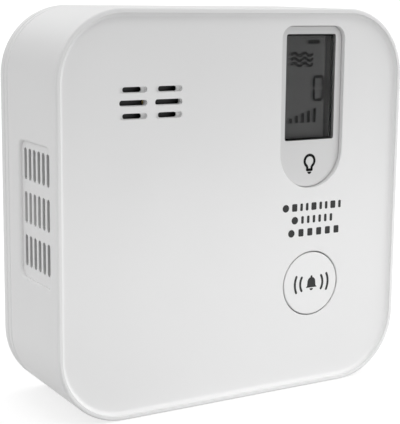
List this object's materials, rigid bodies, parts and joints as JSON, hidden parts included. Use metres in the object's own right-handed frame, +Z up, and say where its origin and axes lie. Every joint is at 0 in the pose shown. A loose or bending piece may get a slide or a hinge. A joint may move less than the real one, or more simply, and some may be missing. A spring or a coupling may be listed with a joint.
{
  "type": "carbon monoxide detector",
  "caption": "Square battery carbon monoxide alarm with rounded corners, a raised rim, side vents, a display in a capsule bezel, a round test button and a slide-off wall plate.",
  "frame": {"origin": "centre of the underside: midway across the width and between the front rim and the back of the wall plate", "axes": "the front faces -Y, +X is to the right seen from the front, +Z is up"},
  "size_m": [0.1, 0.035, 0.1],
  "materials": {
    "housing_white": "fine satin moulded",
    "bezel_white": "satin translucent white",
    "button_white": "fine satin moulded",
    "clear_lens": "polished tinted acrylic",
    "black_plastic": "matt moulded",
    "lcd_glass": "polariser film on glass",
    "foam": "closed-cell foam",
    "rubber_strip": "striped silicone",
    "clear_guide": "polished acrylic",
    "led_resin": "clear resin",
    "plunger_plastic": "moulded",
    "board": "green solder mask",
    "screw_steel": "zinc plated",
    "chip_black": "moulded epoxy",
    "ferrite": "sintered ferrite",
    "can_aluminium": "drawn can",
    "ceramic": "ceramic chips",
    "brass_disc": "rolled sheet",
    "sensor_plastic": "moulded",
    "sensor_steel": "pressed cap",
    "nickel": "nickel plated strip",
    "spring_steel": "nickel plated wire",
    "cell_wrap": "printed film sleeve"
  },
  "bodies": {
    "housing": {"front_housing": "housing_white", "rear_cover": "housing_white", "display_bezel": "bezel_white", "lcd_window": "clear_lens", "lcd_holder": "black_plastic", "lcd_panel": "lcd_glass", "lcd_support_pad": "foam", "lcd_connector_strip": "rubber_strip", "light_guide": "clear_guide", "status_led": "led_resin", "test_switch_body": "black_plastic", "circuit_board": "board", "circuit_board_screws": "screw_steel", "microcontroller": "chip_black", "inductor": "ferrite", "capacitor": "can_aluminium", "small_components": "ceramic", "sounder_gasket": "foam", "sounder_housing": "black_plastic", "sounder_diaphragm": "brass_disc", "co_sensor_body": "sensor_plastic", "co_sensor_cap": "sensor_steel", "housing_screws": "screw_steel", "battery_link_left": "nickel", "battery_link_right": "nickel", "negative_terminal": "nickel", "positive_terminal": "nickel", "battery_cell_lower": "cell_wrap", "battery_spring_lower": "spring_steel", "battery_cell_middle": "cell_wrap", "battery_spring_middle": "spring_steel", "battery_cell_upper": "cell_wrap", "battery_spring_upper": "spring_steel"},
    "button": {"test_button": "button_white", "test_switch_plunger": "plunger_plastic"},
    "door": {"battery_door": "housing_white"},
    "wall_plate": {"mounting_plate": "housing_white"}
  },
  "joints": [
    {"name": "test_button_press", "type": "slide", "parent": "housing", "child": "button", "axis": [0, 1, 0], "range_m": [0, 0.0008], "stiffness_N_per_m": 1500, "springref_m": -0.0004},
    {"name": "battery_door_hinge", "type": "hinge", "parent": "housing", "child": "door", "pos_m": [0, 0.0138, 0.0265], "axis": [-1, 0, 0], "range_deg": [0, 95]},
    {"name": "wall_plate_slide", "type": "slide", "parent": "housing", "child": "wall_plate", "axis": [0, 0, -1], "range_m": [0, 0.0035]}
  ]
}
